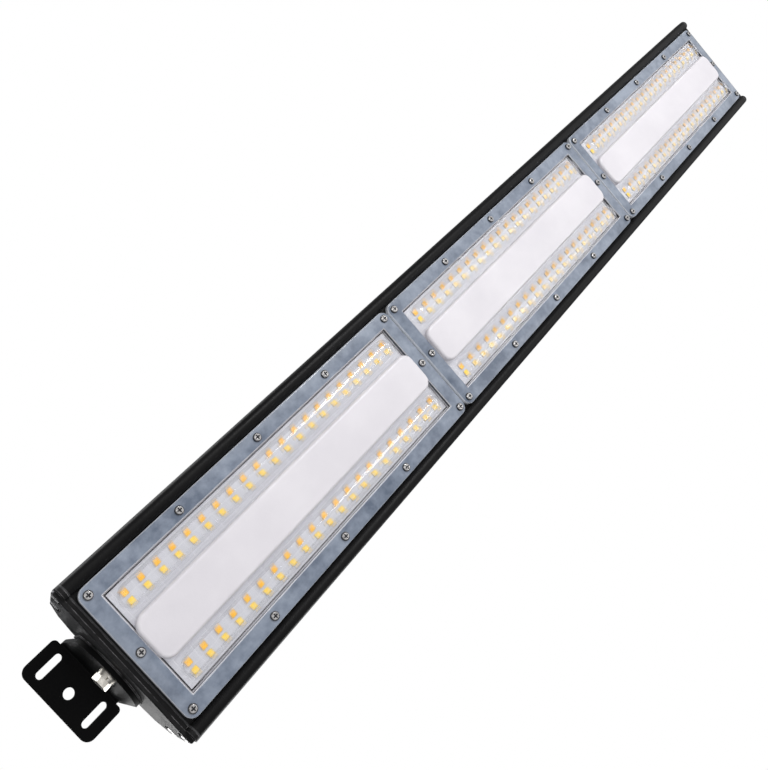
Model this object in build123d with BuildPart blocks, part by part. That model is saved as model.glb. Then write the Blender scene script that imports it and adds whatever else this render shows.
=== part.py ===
from build123d import *
import os

os.makedirs("parts", exist_ok=True)

# Frame: X runs along the light, Z points up to the ceiling, the lenses face down.
# The origin lies on the ceiling plane, midway between the two end brackets.

# Driving dimensions of the whole light, in millimetres
module_count = 3
module_pitch = 290.0
module_gap = 2.0
lens_width = 98.0
lens_side_gap = 0.7
lens_face_drop = 96.0
body_depth = 57.5

# Lens moulding
lens_border = 4.0
lens_corner = 6.0
lens_edge_round = 0.8
window_inset = 10.5
window_step = 0.8
window_skin = 1.5
pocket_inset = 1.0
ridge_y = 27.3
ridge_half_width = 10.0
ridge_height = 6.0
ridge_wall = 2.2
ridge_end_inset = 12.5
plateau_width = 31.5
plateau_end_gap = 0.5
plateau_height = 3.0
plateau_corner = 8.0
plateau_wall = 2.0
plateau_round_share = 0.8
screw_inset = 5.4
long_row_count = 5
gasket_thickness = 1.0

# Boards and emitters
board_thickness = 1.6
board_margin = 2.0
emitter_size = 3.0
emitter_height = 0.8
emitter_columns = 21
emitter_pitch = 12.3
emitter_row_offset = 3.0
board_screw_pitch = 90.0
board_screw_count = 3
board_screw_bite = 2.0
lead_hole_radius = 5.0
lead_hole_x = 60.0
lead_hole_y = 11.5
grommet_wall = 1.5
grommet_flange_width = 1.5
grommet_flange_thickness = 1.2

# Extruded body: each inset is measured inwards from the outer face of the rails
rail_width = 9.1
rail_proud = 0.6
wall = 2.5
floor_thickness = 3.2
wall_foot_depth = 12.0
knee_inset = 4.1
knee_depth = 38.0
shoulder_inset = 13.3
shoulder_depth = 51.5
back_inset = 27.0
screw_rib_width = 6.4
screw_rib_height = 5.0
blind_skin = 1.0
pad_width = 28.0
pad_height = 3.0
flute_count = 3
flute_width = 2.4
flute_depth = 1.0
flute_pitch = 5.0
upper_port_inset = 4.4
upper_port_depth = 10.0
lower_port_inset = 8.0
lower_port_depth = 31.0
port_wall_radius = 3.7

# End caps
cap_gasket_thickness = 0.8
cap_plate = 2.8
cap_face_rise = 2.6
cap_face_lip = 1.5
cap_face_margin = 1.2
cap_edge_round = 1.0
cap_seat_rise = 1.1
cap_seat_margin = 1.0
cap_seat_round = 0.5
cap_notch_gap = 1.2
cap_boss_radius = 8.0
cap_boss_length = 7.0
cap_boss_floor = 2.0

# Brackets
bracket_thickness = 3.0
bracket_inner_bend = 0.8
bracket_flange_width = 53.0
bracket_side_drop = 60.0
bracket_toe_drop = 77.0
bracket_toe_corner = 1.5
bracket_shoulder = 5.4
bracket_shoulder_gap = 0.3
bracket_shoulder_corner = 3.0
bracket_reach = 29.5
bracket_plate_corner = 6.0
pivot_drop = 67.0
slot_width = 5.3
slot_length = 19.2
slot_spacing = 42.6
slot_reach = 14.6
hole_radius = 3.75
hole_reach = 16.8

# Fasteners
thread_gap = 0.1
running_clearance = 0.08
lens_hole_clearance = 0.3
gasket_hole_clearance = 0.5
plain_hole_clearance = 0.2
lens_screw_radius = 1.5
lens_screw_bite = 2.3
lens_screw_head_radius = 2.9
lens_screw_head_height = 1.7
cap_screw_radius = 1.9
cap_screw_bite = 9.5
cap_screw_head_radius = 4.1
cap_screw_head_height = 2.6
pivot_radius = 3.0
pivot_head_width = 10.0
pivot_head_height = 4.0
pivot_end_gap = 2.0
washer_radius = 6.0
washer_thickness = 1.6
spring_washer_radius = 5.6
spring_washer_thickness = 1.6
spring_washer_gap = 1.2
recess_width = 0.9
recess_depth = 0.8
recess_span_share = 1.15
head_chamfer_share = 0.45

# Driver and terminal block inside the body
driver_length = 240.0
driver_width = 61.0
driver_height = 32.0
driver_x = -70.0
driver_corner = 3.0
foot_length = 14.0
foot_thickness = 2.0
foot_width = 22.0
terminal_length = 34.0
terminal_width = 18.0
terminal_height = 15.0
terminal_base = 4.0
terminal_x = 200.0
terminal_ways = 3
terminal_well_radius = 2.0
inner_screw_radius = 1.6
inner_screw_head_radius = 3.2
inner_screw_head_height = 2.2

# Cable gland on the back
gland_x = 330.0
gland_thread_radius = 8.0
gland_bore_radius = 5.6
gland_hex = 19.0
gland_hex_height = 5.0
gland_thread_rise = 7.0
gland_thread_end = 1.0
gland_cap_height = 13.0
gland_cap_radius = 9.6
gland_cap_round = 3.2
gland_cord_radius = 4.0
gland_seal_seat = 1.0
gland_nut_height = 4.0
gland_nut_width = 21.0
gland_washer_thickness = 1.2

# Distance within which two positions count as one when an edge is picked
pick = 0.1

# Levels and lengths that follow from them
lens_length = module_pitch - module_gap
body_length = module_count * module_pitch
lens_face_z = -lens_face_drop
lens_back_z = lens_face_z + lens_border
seat_z = lens_back_z + gasket_thickness
floor_top_z = seat_z + floor_thickness
back_z = lens_face_z + body_depth
pad_z = back_z - wall - pad_height
rail_inner = lens_width / 2 + lens_side_gap
rail_outer = rail_inner + rail_width
rail_middle = rail_inner + rail_width / 2
rail_tip_z = lens_face_z - rail_proud
rail_round_z = rail_tip_z + rail_width / 2
wall_foot_z = lens_face_z + wall_foot_depth
knee_half_width = rail_outer - knee_inset
knee_z = lens_face_z + knee_depth
shoulder_half_width = rail_outer - shoulder_inset
shoulder_z = lens_face_z + shoulder_depth
back_half_width = rail_outer - back_inset
flute_middle = (pad_width / 2 + back_half_width) / 2
screw_row_y = lens_width / 2 - screw_inset
screw_row_x = lens_length / 2 - screw_inset
window_length = lens_length - 2 * window_inset
window_width = lens_width - 2 * window_inset
window_z = lens_face_z + window_step
pocket_z = window_z + window_skin
plateau_length = window_length - 2 * plateau_end_gap
board_z = seat_z - board_thickness
board_length = window_length - 2 * board_margin
board_width = window_width - 2 * board_margin
board_screw_length = board_thickness + floor_thickness + board_screw_bite
lens_screw_length = lens_border + gasket_thickness + floor_thickness + lens_screw_bite
rib_hole_depth = floor_thickness + screw_rib_height - blind_skin
cap_screw_length = cap_plate + cap_gasket_thickness + cap_screw_bite
cap_inner_x = body_length / 2 + cap_gasket_thickness
cap_plate_x = cap_inner_x + cap_plate
cap_face_x = cap_plate_x + cap_face_rise
cap_face_z = seat_z - cap_face_lip
flange_x = cap_face_x + cap_seat_rise
flange_outer_x = flange_x + bracket_thickness
bracket_outer_bend = bracket_thickness + bracket_inner_bend
plate_start_x = flange_x + bracket_outer_bend + bracket_shoulder_gap
plate_end_x = flange_outer_x + bracket_reach
bracket_plate_width = bracket_flange_width + 2 * bracket_shoulder
pivot_hole_depth = flange_x - cap_inner_x + cap_boss_length - cap_boss_floor
pivot_reach = pivot_hole_depth - pivot_end_gap
foot_x = driver_length / 2 + foot_length / 2
gland_seat_z = back_z + gland_washer_thickness
gland_hex_z = gland_seat_z + gland_hex_height
gland_tail = gland_washer_thickness + wall + pad_height + gland_nut_height + gland_thread_end

# Centres of the modules and of the screws
module_centres = [(k - (module_count - 1) / 2) * module_pitch for k in range(module_count)]
upper_port = (rail_outer - upper_port_inset, lens_face_z + upper_port_depth)
lower_port = (rail_outer - lower_port_inset, lens_face_z + lower_port_depth)
port_centres = [(s * y, z) for s in (-1, 1) for y, z in (upper_port, lower_port)]
long_row_pitch = 2 * screw_row_x / (long_row_count - 1)
long_row_x = [k * long_row_pitch - screw_row_x for k in range(long_row_count)]
long_row = [(x, s * screw_row_y) for x in long_row_x for s in (-1, 1)]
lens_screw_points = long_row + [(-screw_row_x, 0), (screw_row_x, 0)]
board_row_middle = (board_screw_count - 1) / 2
board_screw_points = [((k - board_row_middle) * board_screw_pitch, 0) for k in range(board_screw_count)]
foot_points = [(driver_x - foot_x, 0), (driver_x + foot_x, 0)]


def end_plane(side, distance):
    """Plane across the light at one end, facing outwards, with its local Y pointing up."""
    return Plane(origin=(side * distance, 0, 0), x_dir=(0, side, 0), z_dir=(side, 0, 0))


def save(solid, label):
    """Name a piece and write its file."""
    solid.label = label
    export_step(solid, "parts/" + label + ".step")


def draw_section():
    """Outer section of the body: rails at the sides, tapered walls and a flat back."""
    with BuildLine() as outline:
        Polyline(
            (0, back_z),
            (back_half_width, back_z),
            (shoulder_half_width, shoulder_z),
            (knee_half_width, knee_z),
            (rail_outer, wall_foot_z),
            (rail_outer, rail_round_z),
        )
        ThreePointArc(
            (rail_outer, rail_round_z),
            (rail_middle, rail_tip_z),
            (rail_inner, rail_round_z),
        )
        Polyline((rail_inner, rail_round_z), (rail_inner, seat_z), (0, seat_z))
        mirror(about=Plane.YZ)
    make_face(outline.edges())


def draw_cavity():
    """Hollow of the body, one wall thickness inside the section."""
    with BuildLine() as outline:
        Polyline(
            (0, back_z - wall),
            (back_half_width - wall / 2, back_z - wall),
            (shoulder_half_width - wall, shoulder_z - wall / 2),
            (knee_half_width - wall, knee_z - wall / 2),
            (rail_outer - wall, wall_foot_z + wall),
            (rail_inner - wall, floor_top_z),
            (0, floor_top_z),
        )
        mirror(about=Plane.YZ)
    make_face(outline.edges(), mode=Mode.SUBTRACT)


# Housing: one extrusion, the hollow body that carries everything
with BuildPart() as housing:
    with BuildSketch(Plane.YZ.offset(-body_length / 2)):
        draw_section()
        draw_cavity()
        with Locations((-screw_row_y, 0), (0, 0), (screw_row_y, 0)):
            with Locations((0, floor_top_z + screw_rib_height / 2)):
                Rectangle(screw_rib_width, screw_rib_height)
        with Locations((0, pad_z + pad_height / 2)):
            Rectangle(pad_width, pad_height)
        with Locations(*port_centres):
            Circle(port_wall_radius)
        with Locations(*port_centres):
            Circle(cap_screw_radius + thread_gap, mode=Mode.SUBTRACT)
        with Locations((-flute_middle, back_z), (flute_middle, back_z)):
            with GridLocations(flute_pitch, flute_pitch, flute_count, 1):
                Rectangle(flute_width, 2 * flute_depth, mode=Mode.SUBTRACT)
    extrude(amount=body_length)
    for x in module_centres:
        with BuildSketch(Plane.XY.offset(seat_z)):
            with Locations(*[(x + px, py) for px, py in lens_screw_points + board_screw_points]):
                Circle(lens_screw_radius + thread_gap)
        extrude(amount=rib_hole_depth, mode=Mode.SUBTRACT)
        with BuildSketch(Plane.XY.offset(seat_z)):
            with Locations((x + lead_hole_x, lead_hole_y)):
                Circle(lead_hole_radius)
        extrude(amount=floor_thickness, mode=Mode.SUBTRACT)
    with BuildSketch(Plane.XY.offset(pad_z)):
        with Locations(*foot_points, (terminal_x, 0)):
            Circle(inner_screw_radius + thread_gap)
    extrude(amount=pad_height + wall - blind_skin, mode=Mode.SUBTRACT)
    with BuildSketch(Plane.XY.offset(pad_z)):
        with Locations((gland_x, 0)):
            Circle(gland_thread_radius + thread_gap)
    extrude(amount=pad_height + wall, mode=Mode.SUBTRACT)
save(housing.part, "housing")


def pan_screws(points, plane, shank_radius, length, head_radius, head_height):
    """Separate pan-head screws whose heads stand on a plane, with a cross recess in each."""
    with BuildSketch(plane) as heads:
        with Locations(*points):
            Circle(head_radius)
    extrude(heads.sketch, amount=head_height)
    rim = edges().filter_by(GeomType.CIRCLE).group_by(SortBy.RADIUS)[-1]
    outer = rim.sort_by(Axis(plane.origin, plane.z_dir))[-len(points):]
    chamfer(outer, head_height * head_chamfer_share)
    recess_span = head_radius * recess_span_share
    with BuildSketch(plane.offset(head_height - recess_depth)) as recesses:
        with Locations(*points):
            Rectangle(recess_span, recess_width)
            Rectangle(recess_width, recess_span)
    extrude(recesses.sketch, amount=recess_depth, mode=Mode.SUBTRACT)
    with BuildSketch(plane) as shanks:
        with Locations(*points):
            Circle(shank_radius)
    extrude(shanks.sketch, amount=-length)


def ridge(y, half_width, height, base_z, mode):
    """Long low dome with round ends, standing down from a level at one side of the lens."""
    radius = (half_width**2 + height**2) / (2 * height)
    run = lens_length - 2 * ridge_end_inset - 2 * ridge_half_width
    section = Plane(origin=(-run / 2, y, base_z), x_dir=(0, 1, 0), z_dir=(1, 0, 0))
    with BuildSketch(section) as across:
        with Locations((0, radius - height)):
            Circle(radius)
        with Locations((0, radius)):
            Rectangle(4 * radius, 2 * radius, mode=Mode.SUBTRACT)
    extrude(across.sketch, amount=run, mode=mode)
    for end in (-1, 1):
        profile = Plane(origin=(end * run / 2, y, base_z), x_dir=(0, 1, 0), z_dir=(1, 0, 0))
        with BuildSketch(profile) as half:
            with Locations((0, radius - height)):
                Circle(radius)
            with Locations((0, radius)):
                Rectangle(4 * radius, 2 * radius, mode=Mode.SUBTRACT)
            with Locations((-radius, 0)):
                Rectangle(2 * radius, 4 * radius, mode=Mode.SUBTRACT)
        upright = Axis((end * run / 2, y, 0), (0, 0, 1))
        revolve(half.sketch, axis=upright, revolution_arc=-end * 180, mode=mode)


# Lens: one clear moulding with a screwed border, two hollow ridges over the emitters
# and a raised middle panel. This is the piece that takes the most skill.
with BuildPart() as lens:
    with BuildSketch(Plane.XY.offset(lens_face_z)):
        RectangleRounded(lens_length, lens_width, lens_corner)
    extrude(amount=lens_border)
    fillet(faces().sort_by(Axis.Z)[0].outer_wire().edges(), lens_edge_round)
    with BuildSketch(Plane.XY.offset(lens_face_z)):
        Rectangle(window_length, window_width)
    extrude(amount=window_step, mode=Mode.SUBTRACT)
    with BuildSketch(Plane.XY.offset(window_z)):
        RectangleRounded(plateau_length, plateau_width, plateau_corner)
    extrude(amount=-(plateau_height + window_step))
    fillet(faces().sort_by(Axis.Z)[0].outer_wire().edges(), plateau_height * plateau_round_share)
    for side in (-1, 1):
        ridge(side * ridge_y, ridge_half_width, ridge_height + window_step, window_z, Mode.ADD)
    with BuildSketch(Plane.XY.offset(pocket_z)):
        Rectangle(window_length - 2 * pocket_inset, window_width - 2 * pocket_inset)
    extrude(amount=lens_back_z - pocket_z, mode=Mode.SUBTRACT)
    with BuildSketch(Plane.XY.offset(pocket_z)):
        inner_length = plateau_length - 2 * plateau_wall
        inner_width = plateau_width - 2 * plateau_wall
        inner_corner = plateau_corner - plateau_wall
        RectangleRounded(inner_length, inner_width, inner_corner)
    extrude(amount=-(window_skin + window_step + plateau_height - plateau_wall), mode=Mode.SUBTRACT)
    for side in (-1, 1):
        inner_half = ridge_half_width - ridge_wall
        inner_rise = ridge_height + window_step + window_skin - ridge_wall
        ridge(side * ridge_y, inner_half, inner_rise, pocket_z, Mode.SUBTRACT)
    with BuildSketch(Plane.XY.offset(lens_face_z)):
        with Locations(*lens_screw_points):
            Circle(lens_screw_radius + lens_hole_clearance)
    extrude(amount=lens_border, mode=Mode.SUBTRACT)

# Lens gasket: a flat ring between the lens border and the body
with BuildPart() as lens_gasket:
    with BuildSketch(Plane.XY.offset(lens_back_z)):
        RectangleRounded(lens_length, lens_width, lens_corner)
        Rectangle(window_length, window_width, mode=Mode.SUBTRACT)
        with Locations(*lens_screw_points):
            Circle(lens_screw_radius + gasket_hole_clearance, mode=Mode.SUBTRACT)
    extrude(amount=gasket_thickness)

# Board: a metal-backed plate flat on the body, with a hole for its leads
with BuildPart() as board:
    with BuildSketch(Plane.XY.offset(board_z)):
        Rectangle(board_length, board_width)
        with Locations(*board_screw_points):
            Circle(lens_screw_radius + plain_hole_clearance, mode=Mode.SUBTRACT)
        with Locations((lead_hole_x, lead_hole_y)):
            Circle(lead_hole_radius, mode=Mode.SUBTRACT)
    extrude(amount=board_thickness)

# Emitters: two lines on each side of the board, under the lens ridges
with BuildPart() as emitters:
    with BuildSketch(Plane.XY.offset(board_z)):
        with Locations((0, -ridge_y), (0, ridge_y)):
            with GridLocations(emitter_pitch, 2 * emitter_row_offset, emitter_columns, 2):
                Rectangle(emitter_size, emitter_size)
    extrude(amount=-emitter_height)

# Screws of one lens, and the screws that hold one board down
face_down = Plane(origin=(0, 0, lens_face_z), x_dir=(1, 0, 0), z_dir=(0, 0, -1))
board_down = Plane(origin=(0, 0, board_z), x_dir=(1, 0, 0), z_dir=(0, 0, -1))
with BuildPart() as lens_screws:
    pan_screws(
        lens_screw_points,
        face_down,
        lens_screw_radius,
        lens_screw_length,
        lens_screw_head_radius,
        lens_screw_head_height,
    )
with BuildPart() as board_screws:
    with BuildSketch(board_down):
        with Locations(*board_screw_points):
            Circle(lens_screw_head_radius)
    extrude(amount=lens_screw_head_height)
    with BuildSketch(board_down):
        with Locations(*board_screw_points):
            Circle(lens_screw_radius)
    extrude(amount=-board_screw_length)

# Grommet: a bush for the leads in the floor, flanged on the inner side
with BuildPart() as grommet:
    with BuildSketch(Plane.XY.offset(seat_z)):
        with Locations((lead_hole_x, lead_hole_y)):
            Circle(lead_hole_radius)
            Circle(lead_hole_radius - grommet_wall, mode=Mode.SUBTRACT)
    extrude(amount=floor_thickness)
    with BuildSketch(Plane.XY.offset(floor_top_z)):
        with Locations((lead_hole_x, lead_hole_y)):
            Circle(lead_hole_radius + grommet_flange_width)
            Circle(lead_hole_radius - grommet_wall, mode=Mode.SUBTRACT)
    extrude(amount=grommet_flange_thickness)

module_pieces = {
    "lens": lens,
    "lens_gasket": lens_gasket,
    "led_board": board,
    "leds": emitters,
    "lens_screws": lens_screws,
    "board_screws": board_screws,
    "lead_grommet": grommet,
}
for name, piece in module_pieces.items():
    for number, x in enumerate(module_centres, start=1):
        save(piece.part.moved(Location((x, 0, 0))), name + "_" + str(number))


def draw_cap_face():
    """Raised face of an end cap: a margin inside the section, straight beside the lens."""
    with BuildLine() as outline:
        Polyline(
            (0, cap_face_z),
            (rail_outer - cap_face_margin, cap_face_z),
            (rail_outer - cap_face_margin, wall_foot_z),
            (knee_half_width - cap_face_margin, knee_z),
            (shoulder_half_width - cap_face_margin, shoulder_z - cap_face_margin / 2),
            (back_half_width - cap_face_margin / 2, back_z - cap_face_margin),
            (0, back_z - cap_face_margin),
        )
        mirror(about=Plane.YZ)
    make_face(outline.edges())


def draw_cap_seat():
    """Seat of the bracket on an end cap: a margin wider than the flange, with its round toe."""
    half_width = bracket_flange_width / 2 + cap_seat_margin
    seat_back_z = back_z - cap_face_margin - cap_edge_round
    with BuildLine() as outline:
        Polyline(
            (-half_width, -bracket_side_drop),
            (-half_width, seat_back_z),
            (half_width, seat_back_z),
            (half_width, -bracket_side_drop),
        )
        ThreePointArc(
            (half_width, -bracket_side_drop),
            (0, -bracket_toe_drop - cap_seat_margin),
            (-half_width, -bracket_side_drop),
        )
    make_face(outline.edges())


def make_end(side, end_name):
    """All the pieces at one end of the light."""
    outwards = Axis((0, 0, 0), (side, 0, 0))
    with BuildPart() as gasket:
        with BuildSketch(end_plane(side, body_length / 2)):
            draw_section()
            draw_cavity()
            with Locations(*port_centres):
                Circle(port_wall_radius)
            with Locations(*port_centres):
                Circle(cap_screw_radius + lens_hole_clearance, mode=Mode.SUBTRACT)
        extrude(amount=cap_gasket_thickness)
    save(gasket.part, "cap_gasket_" + end_name)

    with BuildPart() as cap:
        with BuildSketch(end_plane(side, cap_inner_x)):
            draw_section()
        extrude(amount=cap_plate)
        with BuildSketch(end_plane(side, cap_plate_x)):
            draw_cap_face()
        extrude(amount=cap_face_rise)
        fillet(faces().sort_by(outwards)[-1].outer_wire().edges(), cap_edge_round)
        with BuildSketch(end_plane(side, cap_face_x)):
            draw_cap_seat()
        extrude(amount=cap_seat_rise)
        fillet(faces().sort_by(outwards)[-1].outer_wire().edges(), cap_seat_round)
        with BuildSketch(end_plane(side, cap_plate_x)):
            with Locations(*port_centres):
                Circle(cap_screw_head_radius + cap_notch_gap)
        extrude(amount=cap_face_rise, mode=Mode.SUBTRACT)
        with BuildSketch(end_plane(side, cap_inner_x)):
            with Locations(*port_centres):
                Circle(cap_screw_radius + lens_hole_clearance)
        extrude(amount=cap_plate, mode=Mode.SUBTRACT)
        with BuildSketch(end_plane(side, cap_inner_x)):
            with Locations((0, -pivot_drop)):
                Circle(cap_boss_radius)
        extrude(amount=-cap_boss_length)
        with BuildSketch(end_plane(side, flange_x)):
            with Locations((0, -pivot_drop)):
                Circle(pivot_radius + thread_gap)
        extrude(amount=-pivot_hole_depth, mode=Mode.SUBTRACT)
    save(cap.part, "end_cap_" + end_name)

    with BuildPart() as cap_screws:
        pan_screws(
            port_centres,
            end_plane(side, cap_plate_x),
            cap_screw_radius,
            cap_screw_length,
            cap_screw_head_radius,
            cap_screw_head_height,
        )
    save(cap_screws.part, "cap_screws_" + end_name)

    # Bracket: a flange with a round toe, folded into a wider plate with two slots and a hole
    plate_plane = Plane(origin=(0, 0, -bracket_thickness), x_dir=(side, 0, 0), z_dir=(0, 0, 1))
    with BuildPart() as bracket:
        with BuildSketch(end_plane(side, flange_x)):
            with BuildLine() as outline:
                Polyline(
                    (-bracket_flange_width / 2, -bracket_side_drop),
                    (-bracket_flange_width / 2, 0),
                    (bracket_flange_width / 2, 0),
                    (bracket_flange_width / 2, -bracket_side_drop),
                )
                ThreePointArc(
                    (bracket_flange_width / 2, -bracket_side_drop),
                    (0, -bracket_toe_drop),
                    (-bracket_flange_width / 2, -bracket_side_drop),
                )
            make_face(outline.edges())
            fillet(vertices().group_by(Axis.Y)[0], bracket_toe_corner)
        extrude(amount=bracket_thickness)
        with BuildSketch(plate_plane):
            with Locations(((flange_x + plate_start_x) / 2, 0)):
                Rectangle(plate_start_x - flange_x, bracket_flange_width)
            with Locations(((plate_start_x + plate_end_x) / 2, 0)):
                Rectangle(plate_end_x - plate_start_x, bracket_plate_width)
            fillet(vertices().group_by(Axis.X)[-1], bracket_plate_corner)
            shoulder_row = vertices().group_by(Axis.X)[1].sort_by(Axis.Y)
            fillet([shoulder_row[0], shoulder_row[-1]], bracket_shoulder_corner)
        extrude(amount=bracket_thickness)
        heel = edges().filter_by(Axis.Y).group_by(Axis.Z)[-1].sort_by(outwards)[0]
        fillet(heel, bracket_outer_bend)
        level = edges().filter_by(Axis.Y).filter_by_position(
            Axis.Z,
            -bracket_thickness - pick,
            -bracket_thickness + pick,
        )
        fillet(level.sort_by(outwards)[0], bracket_inner_bend)
        with BuildSketch(plate_plane):
            with Locations((flange_outer_x + hole_reach, 0)):
                Circle(hole_radius)
            with Locations((flange_outer_x + slot_reach, 0)):
                with GridLocations(slot_spacing, slot_spacing, 1, 2):
                    SlotOverall(slot_length, slot_width)
        extrude(amount=bracket_thickness, mode=Mode.SUBTRACT)
        with BuildSketch(end_plane(side, flange_x)):
            with Locations((0, -pivot_drop)):
                Circle(pivot_radius + running_clearance)
        extrude(amount=bracket_thickness, mode=Mode.SUBTRACT)
    save(bracket.part, "bracket_" + end_name)

    flat_x = flange_outer_x + washer_thickness
    with BuildPart() as flat_washer:
        with BuildSketch(end_plane(side, flange_outer_x)):
            with Locations((0, -pivot_drop)):
                Circle(washer_radius)
                Circle(pivot_radius + plain_hole_clearance, mode=Mode.SUBTRACT)
        extrude(amount=washer_thickness)
    save(flat_washer.part, "flat_washer_" + end_name)

    with BuildPart() as spring_washer:
        with BuildSketch(end_plane(side, flat_x)):
            with Locations((0, -pivot_drop)):
                Circle(spring_washer_radius)
                Circle(pivot_radius + plain_hole_clearance, mode=Mode.SUBTRACT)
            with Locations((0, -pivot_drop - spring_washer_radius / 2)):
                Rectangle(spring_washer_gap, spring_washer_radius, mode=Mode.SUBTRACT)
        extrude(amount=spring_washer_thickness)
    save(spring_washer.part, "spring_washer_" + end_name)

    head_x = flat_x + spring_washer_thickness
    with BuildPart() as pivot_bolt:
        with BuildSketch(end_plane(side, head_x)):
            with Locations((0, -pivot_drop)):
                RegularPolygon(pivot_head_width / 2, 6, major_radius=False)
        extrude(amount=pivot_head_height)
        with BuildSketch(end_plane(side, head_x)):
            with Locations((0, -pivot_drop)):
                Circle(pivot_radius)
        extrude(amount=-(head_x - flange_x + pivot_reach))
    save(pivot_bolt.part, "bracket_bolt_" + end_name)


make_end(-1, "near")
make_end(1, "far")


# Driver: a closed case with a screwed foot at each end, flat on the back pad
with BuildPart() as driver:
    with BuildSketch(Plane.XY.offset(pad_z)):
        with Locations((driver_x, 0)):
            RectangleRounded(driver_length, driver_width, driver_corner)
    extrude(amount=-driver_height)
    with BuildSketch(Plane.XY.offset(pad_z)):
        with Locations((driver_x, 0)):
            Rectangle(driver_length + 2 * foot_length, foot_width)
    extrude(amount=-foot_thickness)
    with BuildSketch(Plane.XY.offset(pad_z)):
        with Locations(*foot_points):
            Circle(inner_screw_radius + plain_hole_clearance)
    extrude(amount=-foot_thickness, mode=Mode.SUBTRACT)
save(driver.part, "driver")

# Terminal block: a row of wire wells with a fixing hole through the middle way
with BuildPart() as terminal_block:
    with BuildSketch(Plane.XY.offset(pad_z)):
        with Locations((terminal_x, 0)):
            Rectangle(terminal_length, terminal_width)
            Circle(inner_screw_radius + plain_hole_clearance, mode=Mode.SUBTRACT)
    extrude(amount=-terminal_height)
    with BuildSketch(Plane.XY.offset(pad_z - terminal_height)):
        with Locations((terminal_x, 0)):
            Circle(inner_screw_head_radius + plain_hole_clearance)
            with GridLocations(terminal_length / terminal_ways, terminal_width / 2, terminal_ways, 2):
                Circle(terminal_well_radius)
    extrude(amount=terminal_height - terminal_base, mode=Mode.SUBTRACT)
save(terminal_block.part, "terminal_block")

# Screws of the driver and of the terminal block, standing in the back pad
with BuildPart() as driver_screws:
    foot_face = Plane(origin=(0, 0, pad_z - foot_thickness), x_dir=(1, 0, 0), z_dir=(0, 0, -1))
    pan_screws(
        foot_points,
        foot_face,
        inner_screw_radius,
        foot_thickness + pad_height,
        inner_screw_head_radius,
        inner_screw_head_height,
    )
save(driver_screws.part, "driver_screws")
with BuildPart() as terminal_screw:
    well_face = Plane(origin=(0, 0, pad_z - terminal_base), x_dir=(1, 0, 0), z_dir=(0, 0, -1))
    pan_screws(
        [(terminal_x, 0)],
        well_face,
        inner_screw_radius,
        terminal_base + pad_height,
        inner_screw_head_radius,
        inner_screw_head_height,
    )
save(terminal_screw.part, "terminal_screw")

# Cable gland: body, sealing washer, lock nut inside, cap nut and rubber insert outside
with BuildPart() as gland_washer:
    with BuildSketch(Plane.XY.offset(back_z)):
        with Locations((gland_x, 0)):
            Circle(gland_hex / 2)
            Circle(gland_thread_radius + thread_gap, mode=Mode.SUBTRACT)
    extrude(amount=gland_washer_thickness)
save(gland_washer.part, "gland_washer")
with BuildPart() as gland_body:
    with BuildSketch(Plane.XY.offset(gland_seat_z)):
        with Locations((gland_x, 0)):
            RegularPolygon(gland_hex / 2, 6, major_radius=False)
    extrude(amount=gland_hex_height)
    with BuildSketch(Plane.XY.offset(gland_hex_z)):
        with Locations((gland_x, 0)):
            Circle(gland_thread_radius)
    extrude(amount=gland_thread_rise)
    with BuildSketch(Plane.XY.offset(gland_seat_z)):
        with Locations((gland_x, 0)):
            Circle(gland_thread_radius)
    extrude(amount=-gland_tail)
    with BuildSketch(Plane.XY.offset(gland_seat_z - gland_tail)):
        with Locations((gland_x, 0)):
            Circle(gland_bore_radius)
    extrude(amount=gland_tail + gland_hex_height + gland_thread_rise, mode=Mode.SUBTRACT)
save(gland_body.part, "gland_body")
with BuildPart() as gland_nut:
    with BuildSketch(Plane.XY.offset(pad_z)):
        with Locations((gland_x, 0)):
            RegularPolygon(gland_nut_width / 2, 6, major_radius=False)
            Circle(gland_thread_radius + thread_gap, mode=Mode.SUBTRACT)
    extrude(amount=-gland_nut_height)
save(gland_nut.part, "gland_nut")
with BuildPart() as gland_cap:
    with BuildSketch(Plane.XY.offset(gland_hex_z)):
        with Locations((gland_x, 0)):
            Circle(gland_cap_radius)
    extrude(amount=gland_cap_height)
    fillet(edges().group_by(Axis.Z)[-1], gland_cap_round)
    with BuildSketch(Plane.XY.offset(gland_hex_z)):
        with Locations((gland_x, 0)):
            Circle(gland_thread_radius + thread_gap)
    extrude(amount=gland_thread_rise + thread_gap, mode=Mode.SUBTRACT)
    with BuildSketch(Plane.XY.offset(gland_hex_z)):
        with Locations((gland_x, 0)):
            Circle(gland_bore_radius)
    extrude(amount=gland_cap_height, mode=Mode.SUBTRACT)
save(gland_cap.part, "gland_cap")
with BuildPart() as gland_seal:
    with BuildSketch(Plane.XY.offset(gland_hex_z - gland_seal_seat)):
        with Locations((gland_x, 0)):
            Circle(gland_bore_radius)
            Circle(gland_cord_radius, mode=Mode.SUBTRACT)
    extrude(amount=gland_cap_height)
save(gland_seal.part, "gland_seal")
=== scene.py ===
# %% [markdown]
# # A linear LED high bay light
#
# This file dresses a ceiling light for warehouses: a long black aluminium body with three clear
# moulded lenses, rows of yellow emitters under them and a folded steel bracket at each end.
# The solids come from CAD and keep the sizes they have there. What is left for Blender is how each
# surface looks, the few pieces whose fine shape the solids leave plain, and the studio around it.
#
# Each step below is a short lesson: first what the real piece is, then how Blender makes it.

import math

import bmesh
import bpy
from mathutils import Matrix, Vector


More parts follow.
